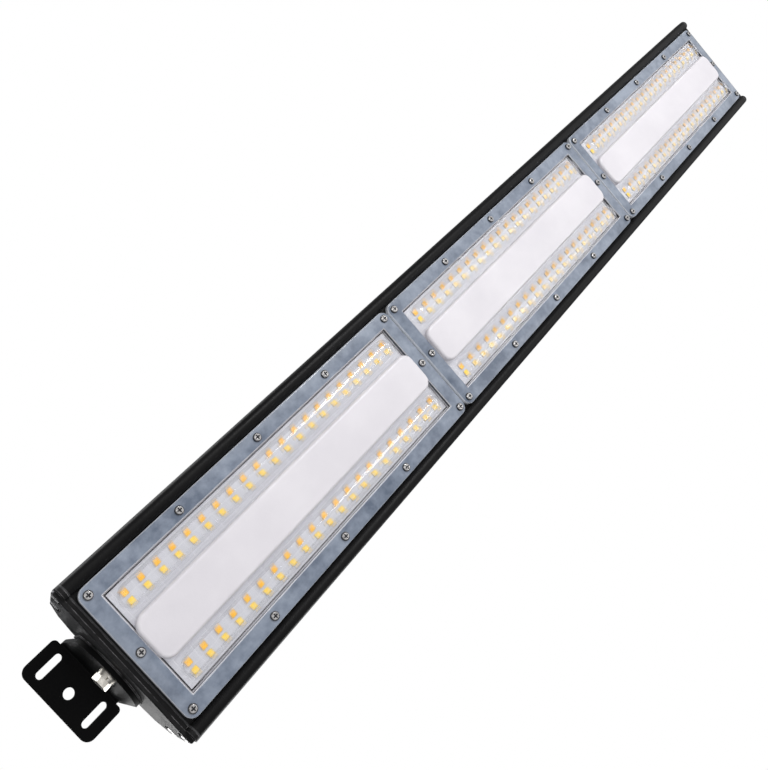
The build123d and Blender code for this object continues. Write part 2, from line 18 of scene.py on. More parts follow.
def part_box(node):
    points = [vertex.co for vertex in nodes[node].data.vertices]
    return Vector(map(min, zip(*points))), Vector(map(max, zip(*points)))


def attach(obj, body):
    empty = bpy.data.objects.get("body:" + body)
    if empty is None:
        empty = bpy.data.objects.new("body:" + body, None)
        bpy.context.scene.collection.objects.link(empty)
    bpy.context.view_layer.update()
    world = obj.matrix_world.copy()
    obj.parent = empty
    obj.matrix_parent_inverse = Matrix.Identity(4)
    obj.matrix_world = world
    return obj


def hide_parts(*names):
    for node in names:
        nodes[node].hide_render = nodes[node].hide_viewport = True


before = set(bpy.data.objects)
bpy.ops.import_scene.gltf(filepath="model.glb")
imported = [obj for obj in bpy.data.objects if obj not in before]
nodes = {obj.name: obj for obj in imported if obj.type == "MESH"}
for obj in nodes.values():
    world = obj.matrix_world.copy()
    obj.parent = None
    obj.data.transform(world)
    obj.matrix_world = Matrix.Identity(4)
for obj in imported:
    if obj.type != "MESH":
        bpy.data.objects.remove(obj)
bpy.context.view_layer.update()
print("CAD pieces:", len(nodes))

# %% [markdown]
# ## Sizes
#
# Everything is in metres, but a lamp maker thinks in millimetres, so one number converts.
# The places of the lenses, boards and screws are read from the CAD pieces themselves. That way a
# piece made here cannot drift away from the solid it stands for.

# %% Sizes read from the CAD pieces
MM = 0.001
MODULES = (1, 2, 3)
lens_low, lens_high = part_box("lens_1")
lens_length = lens_high.x - lens_low.x
lens_width = lens_high.y - lens_low.y
lens_back = lens_high.z
board_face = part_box("led_board_1")[0].z
print(f"lens {lens_length / MM:.1f} x {lens_width / MM:.1f} mm, board face at {board_face / MM:.2f} mm")


def module_centre(number):
    """Middle of one lens along the light."""
    low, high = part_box(f"lens_{number}")
    return (low.x + high.x) / 2


# %% [markdown]
# ## Reusable surface effects
#
# Several finishes share the same small truths: edges rub bright, paint is never perfectly even,
# drawn metal has lines along it. Each of those is one shader node group with named inputs, built
# once. A group only gives out masks, colours or normals. The shader itself stays in the material,
# so each finish can still be read in one place.


# %% Helpers for node trees
def add(tree, kind, **values):
    """One node, with its properties and unlinked inputs set by name."""
    made = tree.nodes.new("ShaderNode" + kind)
    for name, value in values.items():
        if name in made.inputs:
            made.inputs[name].default_value = value
        else:
            setattr(made, name, value)
    return made


def math_node(tree, operation, first, second=None, clamp=False):
    """A Math node whose inputs are sockets or plain numbers."""
    made = add(tree, "Math", operation=operation)
    made.use_clamp = clamp
    for slot, value in zip(made.inputs, (first, second)):
        if isinstance(value, bpy.types.NodeSocket):
            tree.links.new(value, slot)
        elif value is not None:
            slot.default_value = value
    return made.outputs[0]


def ramp_between(tree, value, low, high, out_low=0.0, out_high=1.0):
    """Map Range: a socket's span from low to high becomes out_low to out_high."""
    made = add(tree, "MapRange")
    tree.links.new(value, made.inputs["Value"])
    made.inputs["From Min"].default_value = low
    made.inputs["From Max"].default_value = high
    made.inputs["To Min"].default_value = out_low
    made.inputs["To Max"].default_value = out_high
    return made.outputs["Result"]


def blend_colours(tree, factor, first, second):
    """Mix of two colours by a mask."""
    made = add(tree, "Mix", data_type="RGBA")
    colour_inputs = [s for s in made.inputs if s.type == "RGBA"]
    for slot, value in ((made.inputs[0], factor), (colour_inputs[0], first), (colour_inputs[1], second)):
        if isinstance(value, bpy.types.NodeSocket):
            tree.links.new(value, slot)
        else:
            slot.default_value = value
    return [s for s in made.outputs if s.type == "RGBA"][0]


def new_group(name, inputs, outputs):
    """An empty node group with named inputs and outputs."""
    group = bpy.data.node_groups.new(name, "ShaderNodeTree")
    for socket_name, kind, default in inputs:
        made = group.interface.new_socket(name=socket_name, in_out="INPUT", socket_type="NodeSocket" + kind)
        made.default_value = default
    for socket_name, kind in outputs:
        group.interface.new_socket(name=socket_name, in_out="OUTPUT", socket_type="NodeSocket" + kind)
    return group, group.nodes.new("NodeGroupInput").outputs, group.nodes.new("NodeGroupOutput").inputs


# %% [markdown]
# ### Edge wear and highlight
#
# Black powder coat looks lighter along its corners, because the coat thins there and hands polish
# it. The same mask also paints highlights along edges, such as the pale rim lines of the caps and
# the lens borders. A Bevel node bends the normal near an edge and leaves it alone elsewhere. The
# difference between the bent and the true normal is therefore a mask of the edges. Noise breaks it
# up so the wear and the painted highlight are never a drawn line.

# %% Group: edge wear and painted highlight
edge_wear_and_highlight, given, result = new_group(
    "Edge wear and highlight",
    [("Radius", "Float", 0.0008), ("Breakup", "Float", 120.0)],
    [("Mask", "Float"), ("Normal", "Vector")],
)
bend = add(edge_wear_and_highlight, "Bevel", samples=4)
edge_wear_and_highlight.links.new(given["Radius"], bend.inputs["Radius"])
true_normal = add(edge_wear_and_highlight, "NewGeometry")
facing = add(edge_wear_and_highlight, "VectorMath", operation="DOT_PRODUCT")
edge_wear_and_highlight.links.new(bend.outputs[0], facing.inputs[0])
edge_wear_and_highlight.links.new(true_normal.outputs["Normal"], facing.inputs[1])
bent_share = ramp_between(edge_wear_and_highlight, facing.outputs["Value"], 0.995, 0.80)
place = add(edge_wear_and_highlight, "TexCoord")
patches = add(edge_wear_and_highlight, "TexNoise", Detail=3.0, Roughness=0.6)
edge_wear_and_highlight.links.new(place.outputs["Object"], patches.inputs["Vector"])
edge_wear_and_highlight.links.new(given["Breakup"], patches.inputs["Scale"])
patchy = ramp_between(edge_wear_and_highlight, patches.outputs["Fac"], 0.38, 0.62)
edge_wear_and_highlight.links.new(math_node(edge_wear_and_highlight, "MULTIPLY", bent_share, patchy, clamp=True), result["Mask"])
edge_wear_and_highlight.links.new(bend.outputs[0], result["Normal"])
print("group:", edge_wear_and_highlight.name)

# %% [markdown]
# ### Coat grain
#
# Powder coat and cast metal both carry a fine pebble and slow, cloudy changes of tone. Two noises
# of very different size do it. The fine one drives the bump and the slow one the tone.

# %% Group: coat grain
coat_grain, given, result = new_group(
    "Coat grain",
    [("Fine scale", "Float", 2200.0), ("Cloud scale", "Float", 14.0)],
    [("Pebble", "Float"), ("Cloud", "Float")],
)
place = add(coat_grain, "TexCoord")
pebble = add(coat_grain, "TexNoise", Detail=4.0, Roughness=0.65)
cloud = add(coat_grain, "TexNoise", Detail=5.0, Roughness=0.55)
for noise, scale in ((pebble, "Fine scale"), (cloud, "Cloud scale")):
    coat_grain.links.new(place.outputs["Object"], noise.inputs["Vector"])
    coat_grain.links.new(given[scale], noise.inputs["Scale"])
coat_grain.links.new(pebble.outputs["Fac"], result["Pebble"])
coat_grain.links.new(ramp_between(coat_grain, cloud.outputs["Fac"], 0.3, 0.7), result["Cloud"])
print("group:", coat_grain.name)

# %% [markdown]
# ### Drawn lines
#
# An extrusion is pushed through a die, so faint lines run its whole length. A noise that is
# stretched along X and fine across it gives the same look.

# %% Group: drawn lines
drawn_lines, given, result = new_group(
    "Drawn lines",
    [("Across", "Float", 900.0), ("Along", "Float", 3.0)],
    [("Lines", "Float")],
)
place = add(drawn_lines, "TexCoord")
stretch = add(drawn_lines, "CombineXYZ")
drawn_lines.links.new(given["Along"], stretch.inputs["X"])
drawn_lines.links.new(given["Across"], stretch.inputs["Y"])
drawn_lines.links.new(given["Across"], stretch.inputs["Z"])
scaled = add(drawn_lines, "VectorMath", operation="MULTIPLY")
drawn_lines.links.new(place.outputs["Object"], scaled.inputs[0])
drawn_lines.links.new(stretch.outputs[0], scaled.inputs[1])
lines = add(drawn_lines, "TexNoise", Scale=1.0, Detail=3.0, Roughness=0.5)
drawn_lines.links.new(scaled.outputs[0], lines.inputs["Vector"])
drawn_lines.links.new(lines.outputs["Fac"], result["Lines"])
print("group:", drawn_lines.name)


# %% [markdown]
# ## Materials
#
# Every finish starts from the same place: a Principled shader with its plain values on its own
# sockets. Only what changes over the surface comes in through nodes.


# %% A finish with one Principled shader
def new_finish(name, **values):
    """A material with one Principled shader and the plain values of its sockets."""
    made = bpy.data.materials.new(name)
    made.use_nodes = True
    tree = made.node_tree
    shader = tree.nodes["Principled BSDF"]
    for socket_name, value in values.items():
        shader.inputs[socket_name.replace("_", " ")].default_value = value
    return made, tree, shader


def use_group(tree, group, **values):
    """Place a node group in a material and set its inputs."""
    made = tree.nodes.new("ShaderNodeGroup")
    made.node_tree = group
    for socket_name, value in values.items():
        made.inputs[socket_name.replace("_", " ")].default_value = value
    return made.outputs


def add_bump(tree, shader, height, distance, normal=None):
    """Bump the shader's normal by a height."""
    made = add(tree, "Bump", Distance=distance)
    tree.links.new(height, made.inputs["Height"])
    if normal is not None:
        tree.links.new(normal, made.inputs["Normal"])
    tree.links.new(made.outputs["Normal"], shader.inputs["Normal"])


# %% [markdown]
# ### Black coat on metal
#
# The body, the end caps and the brackets are all black, but not the same black. The body is
# drawn, so it has lines. The caps are cast, so their coat is thicker and more pebbled. The brackets
# are folded sheet with a smooth, slightly duller coat. One recipe makes all three from a few numbers.


# %% Black coat recipe
def black_coat(
    name, tone, worn_and_lit_edge_tone, rough, gloss, pebble_scale, pebble_height, edge_radius, line_height=0.0
):
    """Powder coat: dark tone with clouds, edges lighter by wear and painted highlight, a pebble bump and, on
    drawn metal, lines.
    """
    made, tree, shader = new_finish(name, Specular_IOR_Level=gloss)
    grain = use_group(tree, coat_grain, Fine_scale=pebble_scale, Cloud_scale=16.0)
    edges = use_group(tree, edge_wear_and_highlight, Radius=edge_radius, Breakup=160.0)
    dark = (tone * 0.7, tone * 0.7, tone * 0.74, 1)
    light = (tone * 1.5, tone * 1.46, tone * 1.5, 1)
    # Edge colour: rubbed wear, and a painted highlight where the edge tone is pale, as on the caps.
    worn_and_lit_edge = (worn_and_lit_edge_tone, worn_and_lit_edge_tone * 0.97, worn_and_lit_edge_tone, 1)
    clouded = blend_colours(tree, grain["Cloud"], dark, light)
    tree.links.new(blend_colours(tree, edges["Mask"], clouded, worn_and_lit_edge), shader.inputs["Base Color"])
    uneven = ramp_between(tree, grain["Cloud"], 0, 1, rough - 0.05, rough + 0.07)
    tree.links.new(uneven, shader.inputs["Roughness"])
    height = grain["Pebble"]
    if line_height:
        drawn = use_group(tree, drawn_lines, Across=700.0, Along=2.0)
        height = math_node(tree, "ADD", height, math_node(tree, "MULTIPLY", drawn["Lines"], line_height))
    add_bump(tree, shader, height, pebble_height, normal=edges["Normal"])
    return made


def finish_pieces(pairs):
    """Give each list of CAD pieces its finish, and count the pieces."""
    for finish, names in pairs:
        for name in names:
            nodes[name].data.materials[0] = finish
    return sum(len(names) for finish, names in pairs)


# %% Body, caps and brackets
body_black = black_coat(
    "Body black",
    tone=0.0042,
    worn_and_lit_edge_tone=0.04,
    rough=0.40,
    gloss=0.12,
    pebble_scale=1800.0,
    pebble_height=0.06 * MM,
    edge_radius=0.7 * MM,
    line_height=0.8,
)
# The caps' pale edge tone is a painted highlight: it draws the light rim lines along their edges.
cap_black = black_coat(
    "Cap black",
    tone=0.006,
    worn_and_lit_edge_tone=0.26,
    rough=0.52,
    gloss=0.16,
    pebble_scale=1300.0,
    pebble_height=0.10 * MM,
    edge_radius=0.8 * MM,
)
bracket_black = black_coat(
    "Bracket black",
    tone=0.0025,
    worn_and_lit_edge_tone=0.03,
    rough=0.48,
    gloss=0.07,
    pebble_scale=2400.0,
    pebble_height=0.05 * MM,
    edge_radius=0.6 * MM,
)
black_pieces = (
    (body_black, ["housing"]),
    (cap_black, ["end_cap_near", "end_cap_far"]),
    (bracket_black, ["bracket_near", "bracket_far"]),
)
print("black pieces:", finish_pieces(black_pieces))

# %% [markdown]
# ### Plated steel
#
# The lens screws are bright nickel and the bracket bolt is a warmer zinc. Plated steel is fully
# metallic, so its colour is the tint of its reflections. Small dull patches keep it from looking
# like a mirror. A screw head is clean on its face and painted dark in its recess and round its foot,
# as painted shade, so the colour follows the height above the seat, read from the CAD screw itself.


# %% Plated steel recipe
RUBBED_PLATE = (0.95, 0.94, 0.9, 1)
# Painted shade for a screw head's recess and the ring round its foot.
RECESS_SHADE = (0.05, 0.05, 0.055, 1)


def plated_steel(name, bright, dull, rough, axis=None, low=0.0, high=0.0):
    """Plated metal with dull patches. Along an axis, what lies lower than a level is painted dark as shade.
    """
    made, tree, shader = new_finish(name, Metallic=1.0)
    grain = use_group(tree, coat_grain, Fine_scale=1500.0, Cloud_scale=260.0)
    edges = use_group(tree, edge_wear_and_highlight, Radius=0.3 * MM, Breakup=500.0)
    patch = blend_colours(tree, grain["Cloud"], bright, dull)
    colour = blend_colours(tree, edges["Mask"], patch, RUBBED_PLATE)
    # Painted shade: below a level along the axis the colour turns dark.
    if axis is not None:
        place = add(tree, "TexCoord")
        parts = add(tree, "SeparateXYZ")
        tree.links.new(place.outputs["Object"], parts.inputs[0])
        reach = math_node(tree, "ABSOLUTE", parts.outputs[axis])
        colour = blend_colours(tree, ramp_between(tree, reach, low, high), RECESS_SHADE, colour)
    tree.links.new(colour, shader.inputs["Base Color"])
    uneven = ramp_between(tree, grain["Cloud"], 0, 1, rough - 0.06, rough + 0.12)
    tree.links.new(uneven, shader.inputs["Roughness"])
    add_bump(tree, shader, grain["Pebble"], 0.03 * MM, normal=edges["Normal"])
    return made


# %% Screws, bolts and washers
# Below its top face a head is painted fully dark, as painted shade, at the first depth and clean from the
# second one up.
LENS_HEAD_SHADE = (0.7 * MM, 0.2 * MM)
CAP_HEAD_SHADE = (0.8 * MM, 0.4 * MM)
NICKEL = {"bright": (0.72, 0.71, 0.70, 1), "dull": (0.34, 0.33, 0.33, 1), "rough": 0.22}
ZINC = {"bright": (0.85, 0.82, 0.75, 1), "dull": (0.50, 0.47, 0.42, 1), "rough": 0.26}
lens_screw_face = -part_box("lens_screws_1")[0].z
cap_screw_face = -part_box("cap_screws_near")[0].x
lens_screw_nickel = plated_steel(
    "Lens screw nickel",
    **NICKEL,
    axis="Z",
    low=lens_screw_face - LENS_HEAD_SHADE[0],
    high=lens_screw_face - LENS_HEAD_SHADE[1],
)
cap_screw_nickel = plated_steel(
    "Cap screw nickel",
    **NICKEL,
    axis="X",
    low=cap_screw_face - CAP_HEAD_SHADE[0],
    high=cap_screw_face - CAP_HEAD_SHADE[1],
)
inner_nickel = plated_steel("Inner screw nickel", **NICKEL)
bolt_zinc = plated_steel("Bolt zinc", **ZINC)
bolt_parts = ("bracket_bolt", "spring_washer", "flat_washer")
plated_pieces = (
    (lens_screw_nickel, [f"lens_screws_{k}" for k in MODULES]),
    (cap_screw_nickel, ["cap_screws_near", "cap_screws_far"]),
    (inner_nickel, [f"board_screws_{k}" for k in MODULES] + ["driver_screws", "terminal_screw"]),
    (bolt_zinc, [f"{part}_{end}" for part in bolt_parts for end in ("near", "far")]),
)
print("plated pieces:", finish_pieces(plated_pieces))


# %% [markdown]
# ### Rubber, nylon and the hidden metal
#
# Seals are dull black silicone with a slight bloom. The cable gland is moulded nylon. The driver
# inside is a satin aluminium case, and its terminals are cream plastic. They hardly show, but a
# part in a library is looked at from everywhere, so they get the same care.


# %% Moulded and satin recipe
def moulded(name, first, second, rough, scale, height):
    """Moulded or rubber surface: two close tones, a fine skin and an uneven gloss."""
    made, tree, shader = new_finish(name)
    grain = use_group(tree, coat_grain, Fine_scale=scale, Cloud_scale=40.0)
    tree.links.new(blend_colours(tree, grain["Cloud"], first, second), shader.inputs["Base Color"])
    uneven = ramp_between(tree, grain["Cloud"], 0, 1, rough - 0.06, rough + 0.06)
    tree.links.new(uneven, shader.inputs["Roughness"])
    add_bump(tree, shader, grain["Pebble"], height)
    return made


# %% Seals, gland, terminals and driver
seal_rubber = moulded(
    "Seal rubber",
    first=(0.018, 0.018, 0.019, 1),
    second=(0.035, 0.035, 0.037, 1),
    rough=0.62,
    scale=1500.0,
    height=0.08 * MM,
)
gland_nylon = moulded(
    "Gland nylon",
    first=(0.014, 0.014, 0.015, 1),
    second=(0.028, 0.028, 0.029, 1),
    rough=0.46,
    scale=900.0,
    height=0.06 * MM,
)
terminal_cream = moulded(
    "Terminal cream",
    first=(0.74, 0.72, 0.66, 1),
    second=(0.82, 0.80, 0.75, 1),
    rough=0.45,
    scale=900.0,
    height=0.04 * MM,
)
driver_satin = moulded(
    "Driver case",
    first=(0.52, 0.53, 0.54, 1),
    second=(0.66, 0.67, 0.68, 1),
    rough=0.38,
    scale=1100.0,
    height=0.03 * MM,
)
seal_nodes = [f"{part}_{k}" for part in ("lens_gasket", "lead_grommet") for k in MODULES]
seal_nodes += ["cap_gasket_near", "cap_gasket_far", "gland_washer", "gland_seal"]
quiet_pieces = (
    (seal_rubber, seal_nodes),
    (gland_nylon, ["gland_body", "gland_nut", "gland_cap"]),
    (terminal_cream, ["terminal_block"]),
    (driver_satin, ["driver"]),
)
print("rubber, plastic and satin pieces:", finish_pieces(quiet_pieces))

# %% [markdown]
# ### The board
#
# The board is aluminium under a white solder mask. Its copper shows through as slightly raised,
# slightly greyer bars between the emitters. A Brick texture laid out at the emitter pitch gives
# those bars with their thin gaps.

# %% White board with copper under the mask
COPPER_LENGTH = 12.3 * MM
COPPER_WIDTH = 5.6 * MM
COPPER_GAP = 0.4 * MM
COPPER_RISE = 0.06 * MM
board_white, tree, shader = new_finish("Board white", Roughness=0.34)
place = add(tree, "TexCoord")
copper = add(tree, "TexBrick", Scale=1.0)
copper.offset = 0.0
copper.inputs["Brick Width"].default_value = COPPER_LENGTH
copper.inputs["Row Height"].default_value = COPPER_WIDTH
copper.inputs["Mortar Size"].default_value = COPPER_GAP
copper.inputs["Mortar Smooth"].default_value = 0.4
copper.inputs["Color1"].default_value = (0.60, 0.60, 0.62, 1)
copper.inputs["Color2"].default_value = (0.64, 0.64, 0.66, 1)
copper.inputs["Mortar"].default_value = (0.70, 0.70, 0.71, 1)
tree.links.new(place.outputs["Object"], copper.inputs["Vector"])
grain = use_group(tree, coat_grain, Fine_scale=1200.0, Cloud_scale=30.0)
thin_cloud = math_node(tree, "MULTIPLY", grain["Cloud"], 0.25)
masked = blend_colours(tree, thin_cloud, copper.outputs["Color"], (0.76, 0.76, 0.78, 1))
tree.links.new(masked, shader.inputs["Base Color"])
add_bump(tree, shader, copper.outputs["Fac"], -COPPER_RISE)
print("boards:", finish_pieces([(board_white, [f"led_board_{k}" for k in MODULES])]))

# %% [markdown]
# ## Emitters
#
# Each emitter is a pale package, almost filled by a square of phosphor. The CAD keeps it as a plain
# block three millimetres square, so a finer one is built here with bmesh and stands for it. The
# finer one is 4.2 millimetres square, because the photograph's emitters look larger than the block.
# There are two double rows under each lens: one row of a pair is a warm orange, the other a cooler
# yellow. The phosphor also gets a faint painted glow, so it reads a little brighter than the light on it
# makes it.
# The rows and columns are measured from the CAD blocks, so each package is centred on its block.

# %% Emitter materials
package_white = moulded(
    "Package white",
    first=(0.50, 0.47, 0.43, 1),
    second=(0.62, 0.60, 0.56, 1),
    rough=0.4,
    scale=2000.0,
    height=0.03 * MM,
)


def phosphor_finish(name, deep, light, painted_glow):
    """Phosphor gel: two tones in clouds finer than one emitter, a soft gloss and a little painted glow."""
    # Painted glow: a faint emission makes the phosphor brighter than the light on it alone.
    made, tree, shader = new_finish(
        name, Roughness=0.4, Coat_Weight=0.25, Coat_Roughness=0.1, Emission_Color=painted_glow, Emission_Strength=0.16
    )
    grain = use_group(tree, coat_grain, Fine_scale=3500.0, Cloud_scale=420.0)
    tree.links.new(blend_colours(tree, grain["Cloud"], deep, light), shader.inputs["Base Color"])
    add_bump(tree, shader, grain["Pebble"], 0.05 * MM)
    return made


warm_phosphor = phosphor_finish(
    "Phosphor warm", deep=(0.88, 0.40, 0.015, 1), light=(0.94, 0.56, 0.06, 1), painted_glow=(1.0, 0.55, 0.04, 1)
)
cool_phosphor = phosphor_finish(
    "Phosphor cool", deep=(0.92, 0.54, 0.025, 1), light=(0.96, 0.72, 0.12, 1), painted_glow=(1.0, 0.70, 0.06, 1)
)
print("emitter finishes:", package_white.name, warm_phosphor.name, cool_phosphor.name)


# %% Rings and skins in bmesh
def ring_of(mesh, points):
    """New vertices for one closed ring."""
    return [mesh.verts.new(point) for point in points]


def skin_between(mesh, first, second, material):
    """Quads between two rings that have as many points each."""
    for here in range(len(first)):
        after = (here + 1) % len(first)
        face = mesh.faces.new((first[here], first[after], second[after], second[here]))
        face.material_index = material
        face.smooth = True


def climb(mesh, rings, material):
    """Skin from each ring to the next. Gives back the vertices of the rings."""
    made = [ring_of(mesh, ring) for ring in rings]
    for first, second in zip(made, made[1:]):
        skin_between(mesh, first, second, material)
    return made


def new_piece(mesh, name, finishes, sharp_angle):
    """An object from a bmesh, with its finishes, and with corners sharper than an angle kept sharp."""
    data = bpy.data.meshes.new(name)
    mesh.to_mesh(data)
    mesh.free()
    data.set_sharp_from_angle(angle=math.radians(sharp_angle))
    for finish in finishes:
        data.materials.append(finish)
    piece = bpy.data.objects.new(name, data)
    bpy.context.collection.objects.link(piece)
    return piece


def square_ring(x, y, half, corner, z, steps=3):
    """Ring of a small square with rounded corners."""
    points = []
    for quarter in range(4):
        turn = math.pi / 2 * quarter
        centre_x = x + (half - corner) * (1 if quarter in (0, 3) else -1)
        centre_y = y + (half - corner) * (1 if quarter in (0, 1) else -1)
        for step in range(steps + 1):
            angle = turn + math.pi / 2 * step / steps
            points.append((centre_x + corner * math.cos(angle), centre_y + corner * math.sin(angle), z))
    return points


# %% One emitter
PACKAGE_HALF = 2.1 * MM
PACKAGE_CORNER = 0.2 * MM
PACKAGE_BEVEL = 0.06 * MM
PACKAGE_BEVEL_DROP = 0.08 * MM
RIM_INSET = 0.14 * MM
WELL_INSET = 0.18 * MM
WELL_CORNER = 0.4 * MM
WELL_DEPTH = 0.10 * MM
GEL_RINGS = ((0.8, 0.05 * MM), (0.4, 0.02 * MM))


def package_rings(x, y, foot, face):
    """Rings of one package, from its foot, over its rim and into its well."""
    return [
        square_ring(x, y, PACKAGE_HALF, PACKAGE_CORNER, foot),
        square_ring(x, y, PACKAGE_HALF, PACKAGE_CORNER, face + PACKAGE_BEVEL_DROP),
        square_ring(x, y, PACKAGE_HALF - PACKAGE_BEVEL, PACKAGE_CORNER, face),
        square_ring(x, y, PACKAGE_HALF - RIM_INSET, WELL_CORNER, face),
        square_ring(x, y, PACKAGE_HALF - WELL_INSET, WELL_CORNER, face + WELL_DEPTH),
    ]


def add_emitter(mesh, x, y, foot, face, tone):
    """One package and its gel, which bulges a little in the well."""
    gel = climb(mesh, package_rings(x, y, foot, face), 0)[-1:]
    for share, depth in GEL_RINGS:
        half = (PACKAGE_HALF - WELL_INSET) * share
        gel.append(ring_of(mesh, square_ring(x, y, half, WELL_CORNER * share, face + depth)))
    for first, second in zip(gel, gel[1:]):
        skin_between(mesh, first, second, tone)
    crown = mesh.faces.new(gel[-1])
    crown.material_index = tone
    crown.smooth = True


# %% All the emitters
EMITTER_SHARP_ANGLE = 40


def emitter_rows(number):
    """Centres of the emitters of one module, read from the CAD blocks' corners."""
    corners = {(round(v.co.x, 5), round(v.co.y, 5)) for v in nodes[f"leds_{number}"].data.vertices}
    xs = sorted({x for x, y in corners})
    ys = sorted({y for x, y in corners})
    mid_x = [(a + b) / 2 for a, b in zip(xs[::2], xs[1::2])]
    mid_y = [(a + b) / 2 for a, b in zip(ys[::2], ys[1::2])]
    return [(x, y) for x in mid_x for y in mid_y]


def build_emitters(number):
    """All emitters of one module as one mesh of packages and phosphor wells."""
    low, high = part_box(f"leds_{number}")
    places = emitter_rows(number)
    rows = sorted({y for x, y in places})
    mesh = bmesh.new()
    for x, y in places:
        add_emitter(mesh, x, y, high.z, low.z, tone=1 + rows.index(y) % 2)
    bmesh.ops.recalc_face_normals(mesh, faces=mesh.faces)
    finishes = (package_white, warm_phosphor, cool_phosphor)
    piece = new_piece(mesh, f"emitters_{number}", finishes, EMITTER_SHARP_ANGLE)
    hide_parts(f"leds_{number}")
    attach(piece, "body")
    return piece


for k in MODULES:
    made = build_emitters(k)
print("emitters per module:", len(emitter_rows(1)), "faces:", len(made.data.polygons))

# %% [markdown]
# ## The lens moulding
#
# Each lens is one clear moulding: a screwed border, a window set a little lower, two long domes
# over the emitter rows and a raised frosted panel between them. Light bends in it, so its mesh must
# be one closed skin with an outside and an inside.
#
# The border and the panel are flat shapes with round corners, and the domes are long with half-round
# ends. All three can be drawn as closed rings of points at different heights, with quads between the rings.
# The two flat levels that carry them are filled around the rings. On the inside a small ledge runs
# round in front of the board and covers its cut edge.

# %% Lens sizes, in millimetres from the lens middle
BORDER = 4.0
CORNER = 6.0
EDGE_ROUND = 0.8
EDGE_STEPS = 4
WINDOW = (267.0, 77.0)
WINDOW_STEP = 0.8
WINDOW_CORNER = 0.5
WINDOW_BEVEL = 0.25
SKIN = 1.5
POCKET_GAP = 0.3
LEDGE = 0.8
LEDGE_GAP = 0.15
LIP = 0.35
DOME_Y = 27.3
DOME_HALF = 10.0
DOME_RISE = 6.8
DOME_RUN = 243.0
DOME_WALL = 2.2
CREST_HALF = 0.02
PANEL = (266.0, 31.5)
PANEL_CORNER = 8.0
PANEL_EDGE = 2.4
PANEL_STEPS = 6
PANEL_RISE = 3.8
PANEL_WALL = 2.0
LENS_SHARP_ANGLE = 32
foot_z = lens_back / MM
face_z = foot_z - BORDER
window_z = face_z + WINDOW_STEP
pocket_z = window_z + SKIN
ledge_z = board_face / MM - LEDGE_GAP
print("lens face without its domes:", round(face_z, 2))


# %% Rings for the lens
def panel_ring(length, width, corner, z, steps=8):
    """Ring of a rounded rectangle, counter-clockwise from its +X +Y corner."""
    points = []
    for quarter in range(4):
        centre_x = (length / 2 - corner) * (1 if quarter in (0, 3) else -1)
        centre_y = (width / 2 - corner) * (1 if quarter in (0, 1) else -1)
        for step in range(steps + 1):
            angle = math.pi / 2 * (quarter + step / steps)
            points.append((centre_x + corner * math.cos(angle), centre_y + corner * math.sin(angle), z))
    return points


def rounded_rings(size, corner, radius, top_z, steps):
    """Rings of a rounded rectangle that climb a quarter round up to its flat face."""
    rings = []
    for step in range(steps + 1):
        angle = math.pi / 2 * step / steps
        inset = radius * (1 - math.cos(angle))
        z = top_z + radius * (1 - math.sin(angle))
        rings.append(panel_ring(size[0] - 2 * inset, size[1] - 2 * inset, corner - inset, z))
    return rings


def dome_ring(y, radius, z, steps=20):
    """Ring of a long shape with half-round ends."""
    points = []
    for end in (1, -1):
        for step in range(steps + 1):
            angle = -math.pi / 2 + math.pi * step / steps
            along = DOME_RUN / 2 + radius * math.cos(angle)
            points.append((end * along, y + end * radius * math.sin(angle), z))
    return points


def dome_rings(y, half, rise, base_z, steps=12):
    """Rings that climb a dome of circular section, from its foot to its crest."""
    radius = (half**2 + rise**2) / (2 * rise)
    reach = math.asin(half / radius) if rise <= half else math.pi - math.asin(half / radius)
    rings = []
    for step in range(steps + 1):
        angle = reach * (1 - step / steps)
        across = max(radius * math.sin(angle), CREST_HALF)
        rings.append(dome_ring(y, across, base_z - (radius * math.cos(angle) - (radius - rise))))
    return rings


# %% [markdown]
# The moulding uses three finishes on one mesh. The border is clear plastic pressed on a grey
# backing, which reads as a satin blue-grey with a gloss over it. The window and the domes are truly
# clear. The middle panel is frosted, which hides the board screws and evens out the light. Where a
# side of the moulding turns away from the face, and along the border's edges, the colour is painted
# paler as a painted highlight. The panel's broad rounded edge gets a painted highlight too.

# %% Satin border
border_satin, tree, shader = new_finish("Lens border", Coat_Weight=0.8, Coat_Roughness=0.08)
grain = use_group(tree, coat_grain, Fine_scale=900.0, Cloud_scale=24.0)
blots = use_group(tree, coat_grain, Fine_scale=500.0, Cloud_scale=130.0)
edges = use_group(tree, edge_wear_and_highlight, Radius=1.1 * MM, Breakup=70.0)
wide_clouds = math_node(tree, "MULTIPLY", grain["Cloud"], 0.55)
small_blots = math_node(tree, "MULTIPLY", blots["Cloud"], 0.45)
mottled = math_node(tree, "ADD", wide_clouds, small_blots)
tone = ramp_between(tree, mottled, 0.2, 0.8)
satin = blend_colours(tree, tone, (0.08, 0.108, 0.16, 1), (0.235, 0.275, 0.345, 1))
# Painted highlight: the border's edges are painted pale, for the bright lines along the rims and module
# joints.
satin = blend_colours(tree, edges["Mask"], satin, (0.66, 0.70, 0.76, 1))
skin_normal = add(tree, "NewGeometry")
parts = add(tree, "SeparateXYZ")
tree.links.new(skin_normal.outputs["Normal"], parts.inputs[0])
# Painted highlight: where the skin turns away from the face, the colour is painted paler.
side = ramp_between(tree, math_node(tree, "ABSOLUTE", parts.outputs["Z"]), 0.97, 0.6)
tree.links.new(blend_colours(tree, side, satin, (0.62, 0.65, 0.70, 1)), shader.inputs["Base Color"])
tree.links.new(ramp_between(tree, mottled, 0, 1, 0.3, 0.45), shader.inputs["Roughness"])
add_bump(tree, shader, grain["Pebble"], 0.02 * MM, normal=edges["Normal"])
print("finish:", border_satin.name)

